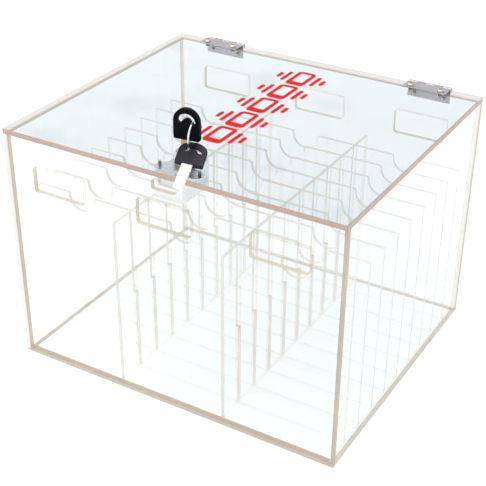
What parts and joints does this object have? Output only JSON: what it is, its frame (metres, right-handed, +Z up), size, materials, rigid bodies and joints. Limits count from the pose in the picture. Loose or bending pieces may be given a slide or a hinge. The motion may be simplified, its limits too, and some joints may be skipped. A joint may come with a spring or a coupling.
{
  "type": "phone locker box",
  "caption": "Clear acrylic locker box with an egg-crate rack of upright phone slots, label windows, a hinged lid with a drawer lock, and keys on a wire ring.",
  "frame": {"origin": "centre of the base of the case, on the table", "axes": "+Z up, -Y out of the front wall that takes the lock's bolt, +X to the right as seen from the front"},
  "size_m": [0.3, 0.2804, 0.2514],
  "materials": {
    "clear_sheet": "clear, polished faces, sawn edges",
    "rack_sheet": "clear, polished faces, laser-cut edges",
    "red_film": "satin",
    "hinge_steel": "satin",
    "pin_steel": "satin",
    "screw_steel": "plated",
    "lock_zinc": "nickel plated",
    "lock_steel": "satin",
    "bezel_chrome": "polished",
    "plug_brass": "machined",
    "blade_nickel": "bright",
    "bow_plastic": "soft sheen",
    "ring_steel": "bright"
  },
  "bodies": {
    "case": {"bottom_panel": "clear_sheet", "front_panel": "clear_sheet", "back_panel": "clear_sheet", "left_panel": "clear_sheet", "right_panel": "clear_sheet", "left_partition": "rack_sheet", "right_partition": "rack_sheet", "slot_divider_1": "rack_sheet", "slot_divider_2": "rack_sheet", "slot_divider_3": "rack_sheet", "slot_divider_4": "rack_sheet", "slot_divider_5": "rack_sheet", "slot_divider_6": "rack_sheet", "slot_divider_7": "rack_sheet", "slot_divider_8": "rack_sheet", "slot_divider_9": "rack_sheet", "left_hinge_case_leaf": "hinge_steel", "right_hinge_case_leaf": "hinge_steel", "left_hinge_pin": "pin_steel", "right_hinge_pin": "pin_steel", "case_hinge_screws": "screw_steel"},
    "lid": {"lid_panel": "clear_sheet", "lid_marking": "red_film", "left_hinge_lid_leaf": "hinge_steel", "right_hinge_lid_leaf": "hinge_steel", "lid_hinge_screws": "screw_steel", "lock_case": "lock_zinc", "lock_cover": "lock_zinc", "lock_cover_screws": "lock_steel", "lock_bezel": "bezel_chrome", "lock_screws": "lock_steel"},
    "lock_plug": {"lock_plug": "plug_brass", "lock_wafers": "plug_brass", "lock_drive_pin": "lock_steel", "lock_plug_clip": "lock_steel"},
    "lock_bolt": {"lock_bolt": "lock_zinc"},
    "key_1": {"key_1_blade": "blade_nickel", "key_1_bow": "bow_plastic"},
    "key_ring": {"key_ring": "ring_steel"},
    "key_2": {"key_2_blade": "blade_nickel", "key_2_bow": "bow_plastic"}
  },
  "joints": [
    {"name": "lid_hinge", "type": "hinge", "parent": "case", "child": "lid", "pos_m": [0, 0.1305, 0.2108], "axis": [-1, 0, 0], "range_deg": [0, 200]},
    {"name": "lock_turn", "type": "hinge", "parent": "lid", "child": "lock_plug", "pos_m": [0.001, -0.096, 0.205], "axis": [0, 0, 1], "range_deg": [-90, 0]},
    {"name": "bolt_slide", "type": "slide", "parent": "lid", "child": "lock_bolt", "axis": [0, -1, 0], "range_m": [0, 0.00566]},
    {"name": "key_1_pull", "type": "slide", "parent": "lock_plug", "child": "key_1", "axis": [0, 0, 1], "range_m": [0, 0.021]},
    {"name": "key_ring_turn", "type": "hinge", "parent": "key_1", "child": "key_ring", "pos_m": [0.00747, -0.09629, 0.23008], "axis": [-0.9744, -0.225, 0], "range_deg": [0, 40]},
    {"name": "key_2_swing", "type": "hinge", "parent": "key_ring", "child": "key_2", "pos_m": [0.00969, -0.10591, 0.22438], "axis": [0.1125, -0.4872, 0.866], "range_deg": [0, 15]}
  ],
  "couplings": [
    {"joint": "bolt_slide", "follows": "lock_turn", "m_per_rad": -0.0036013}
  ]
}
